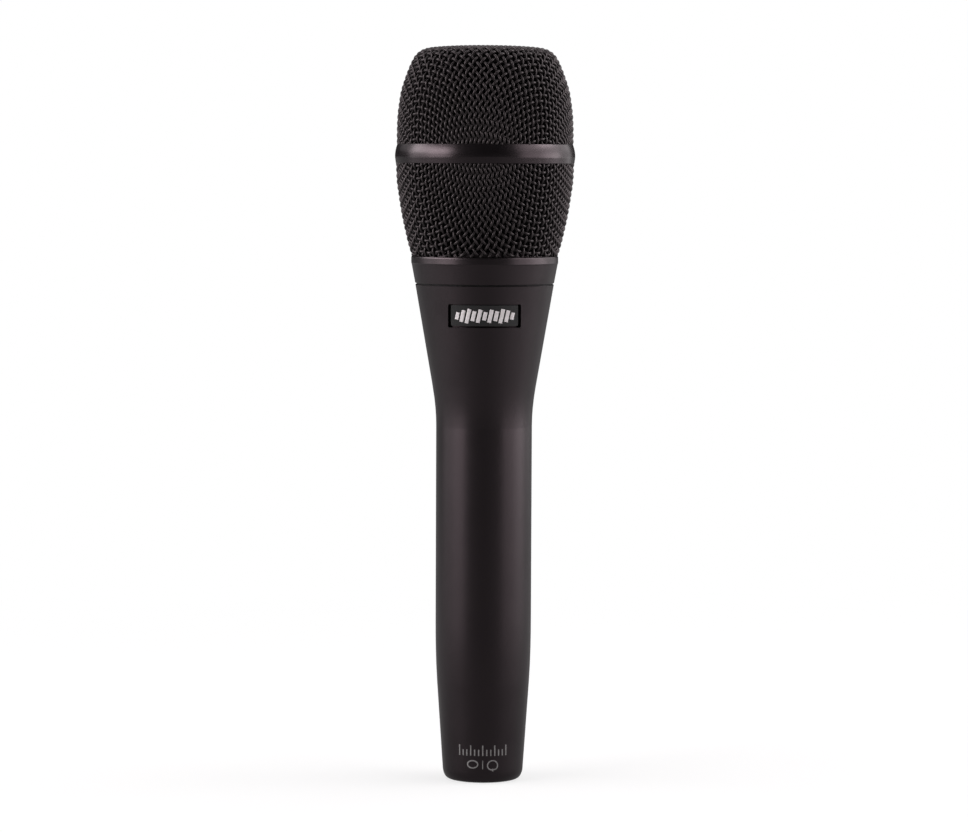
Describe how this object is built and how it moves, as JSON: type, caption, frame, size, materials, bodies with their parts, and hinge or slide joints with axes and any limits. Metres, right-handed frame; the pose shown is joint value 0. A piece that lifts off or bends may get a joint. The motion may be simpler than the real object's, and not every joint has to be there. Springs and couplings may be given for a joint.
{
  "type": "handheld vocal microphone",
  "caption": "Handheld vocal microphone: tapered black metal handle with cable socket, screw-off woven mesh grille with centre band, sprung capsule and pattern switch inside.",
  "frame": {"origin": "centre of the tail face, where the cable plugs in", "axes": "+Z along the body axis from tail to grille; -Y is the front, with the badge and the pattern switch"},
  "size_m": [0.0466, 0.0466, 0.1902],
  "materials": {
    "handle_coat": "satin",
    "collar_coat": "satin",
    "band_coat": "satin",
    "mesh_coat": "satin",
    "liner_coat": "matte",
    "pop_foam": "matte",
    "badge_plate": "gloss",
    "washer_fibre": "matte",
    "cartridge_plastic": "matte",
    "spring_steel": "satin",
    "board_laminate": "gloss",
    "component_black": "matte",
    "switch_plastic": "matte",
    "slider_plastic": "matte",
    "mount_rubber": "matte",
    "carrier_plastic": "matte",
    "insulator_plastic": "matte",
    "capsule_metal": "satin",
    "ring_brass": "polished",
    "diaphragm_gold": "gloss",
    "spacer_film": "gloss",
    "backplate_brass": "satin",
    "screen_metal": "matte",
    "lead_insulation": "gloss",
    "tinned_wire": "polished",
    "contact_gold": "polished",
    "holder_plastic": "matte",
    "capacitor_can": "satin",
    "film_box": "gloss",
    "resistor_coat": "gloss",
    "insert_plastic": "matte",
    "screw_steel": "satin"
  },
  "bodies": {
    "handle": {"handle_shell": "handle_coat", "name_badge": "badge_plate", "cartridge_base": "cartridge_plastic", "snap_ring": "spring_steel", "cartridge_board": "board_laminate", "input_transistors": "component_black", "switch_body": "switch_plastic", "shock_mount": "mount_rubber", "capsule_leads": "lead_insulation", "contact_board": "board_laminate", "spring_contacts": "contact_gold", "preamp_board": "board_laminate", "board_holder_lower": "holder_plastic", "board_holder_upper": "holder_plastic", "electrolytic_capacitors": "capacitor_can", "film_capacitors": "film_box", "output_transistors": "component_black", "resistors": "resistor_coat", "board_leads": "tinned_wire", "xlr_insert": "insert_plastic", "xlr_pins": "contact_gold", "xlr_set_screw": "screw_steel", "xlr_ground_spring": "spring_steel", "xlr_wires": "lead_insulation"},
    "washer": {"seal_washer": "washer_fibre"},
    "grille": {"grille_upper_mesh": "mesh_coat", "grille_lower_mesh": "mesh_coat", "upper_liner": "liner_coat", "lower_liner": "liner_coat", "upper_foam": "pop_foam", "lower_foam": "pop_foam", "grille_band": "band_coat", "grille_collar": "collar_coat"},
    "capsule": {"capsule_carrier": "carrier_plastic", "capsule_housing": "capsule_metal", "capsule_screen": "screen_metal", "clamp_ring": "ring_brass", "rear_diaphragm_ring": "ring_brass", "rear_diaphragm": "diaphragm_gold", "rear_spacer": "spacer_film", "rear_backplate": "backplate_brass", "backplate_insulator": "insulator_plastic", "front_backplate": "backplate_brass", "front_spacer": "spacer_film", "front_diaphragm": "diaphragm_gold", "front_diaphragm_ring": "ring_brass"},
    "switch_slider": {"pattern_slider": "slider_plastic"}
  },
  "joints": [
    {"name": "grille_lift", "type": "slide", "parent": "handle", "child": "washer", "axis": [0, 0, 1], "range_m": [0, 0.0051]},
    {"name": "grille_turn", "type": "hinge", "parent": "washer", "child": "grille", "pos_m": [0, 0, 0.131], "axis": [0, 0, 1], "range_deg": [0, 1440]},
    {"name": "pattern_slide", "type": "slide", "parent": "handle", "child": "switch_slider", "axis": [1, 0, 0], "range_m": [0, 0.002]},
    {"name": "capsule_float", "type": "slide", "parent": "handle", "child": "capsule", "axis": [0, 0, 1], "range_m": [-0.0008, 0.0008], "stiffness_N_per_m": 800, "springref_m": 0.0003, "deforming": ["shock_mount", "capsule_leads"]}
  ],
  "couplings": [
    {"joint": "grille_lift", "follows": "grille_turn", "m_per_rad": 0.00019894}
  ]
}
